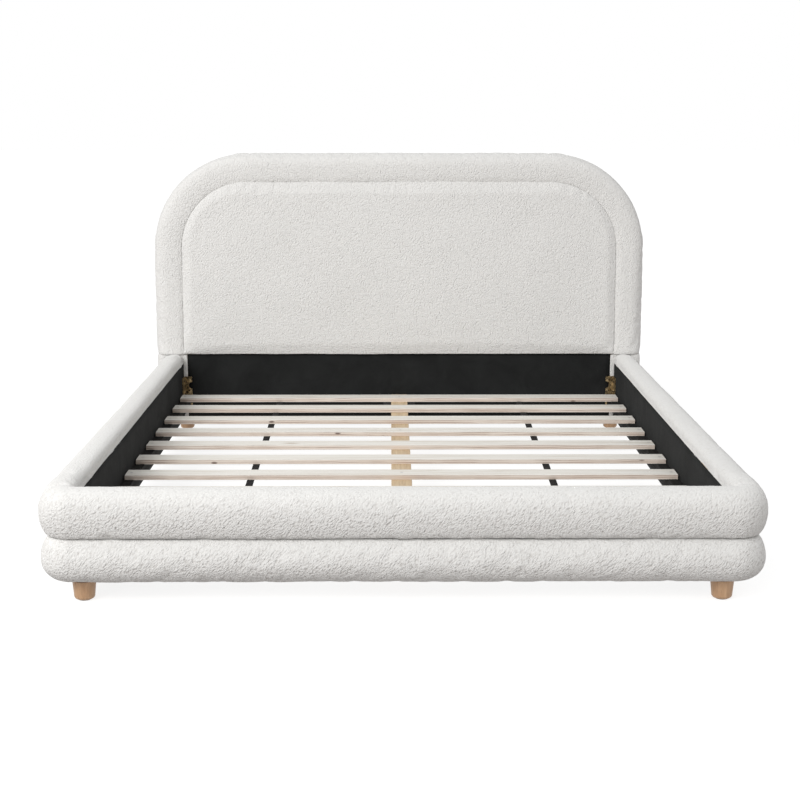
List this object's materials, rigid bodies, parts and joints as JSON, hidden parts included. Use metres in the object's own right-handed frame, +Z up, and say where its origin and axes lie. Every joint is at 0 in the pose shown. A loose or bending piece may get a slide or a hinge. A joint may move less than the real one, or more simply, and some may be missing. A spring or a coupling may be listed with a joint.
{
  "type": "upholstered headboard bed",
  "caption": "Low platform bed with an arched padded headboard, double-roll boucle rails, wooden slats on a centre beam and short tapered feet.",
  "frame": {"origin": "on the floor, under the middle of the bed's overall length and width", "axes": "+Z up, +Y from the foot end to the headboard, +X to the right as seen from the foot end"},
  "size_m": [1.74, 2.216, 0.991],
  "materials": {
    "boucle": "off-white boucle, matt",
    "lining": "black non-woven, matt",
    "webbing": "black woven webbing, matt",
    "slat_wood": "pale laminated softwood, sanded",
    "beam_wood": "pale softwood, planed",
    "foot_wood": "beech with a satin oil",
    "frame_board": "plywood, raw",
    "frame_timber": "softwood, raw",
    "ledge_wood": "softwood stained black",
    "zinc_steel": "yellow-zinc plated steel, satin",
    "screw_steel": "plain steel",
    "black_steel": "black powder coat, satin",
    "felt": "pressed felt"
  },
  "bodies": {
    "root": {"beam_hanger_foot": "black_steel", "beam_hanger_head": "black_steel", "bracket_bolts": "zinc_steel", "centre_beam": "beam_wood", "centre_leg_1": "foot_wood", "centre_leg_2": "foot_wood", "centre_leg_3": "foot_wood", "corner_bracket_foot_left": "zinc_steel", "corner_bracket_foot_right": "zinc_steel", "corner_bracket_head_left": "zinc_steel", "corner_bracket_head_right": "zinc_steel", "foot_blocks": "frame_timber", "foot_front_left": "foot_wood", "foot_front_right": "foot_wood", "foot_rear_left": "foot_wood", "foot_rear_right": "foot_wood", "footboard_board": "frame_board", "footboard_lining": "lining", "footboard_lower_roll": "boucle", "footboard_upper_roll": "boucle", "glide_pads": "felt", "hanger_bolts": "screw_steel", "headboard_back_lining": "lining", "headboard_border_roll": "boucle", "headboard_crossbar_bottom": "frame_timber", "headboard_crossbar_top": "frame_timber", "headboard_cushion": "boucle", "headboard_lining": "lining", "headboard_panel": "frame_board", "headboard_post_left": "frame_timber", "headboard_post_right": "frame_timber", "headboard_side_cover_left": "boucle", "headboard_side_cover_right": "boucle", "rail_board_left": "frame_board", "rail_board_right": "frame_board", "rail_ledge_left": "ledge_wood", "rail_ledge_right": "ledge_wood", "rail_lining_left": "lining", "rail_lining_right": "lining", "rail_lower_roll_left": "boucle", "rail_lower_roll_right": "boucle", "rail_upper_roll_left": "boucle", "rail_upper_roll_right": "boucle", "slat_01": "slat_wood", "slat_02": "slat_wood", "slat_03": "slat_wood", "slat_04": "slat_wood", "slat_05": "slat_wood", "slat_06": "slat_wood", "slat_07": "slat_wood", "slat_08": "slat_wood", "slat_09": "slat_wood", "slat_10": "slat_wood", "slat_screws": "screw_steel", "slat_strap_foot_left": "webbing", "slat_strap_foot_right": "webbing", "slat_strap_head_left": "webbing", "slat_strap_head_right": "webbing"}
  },
  "joints": []
}
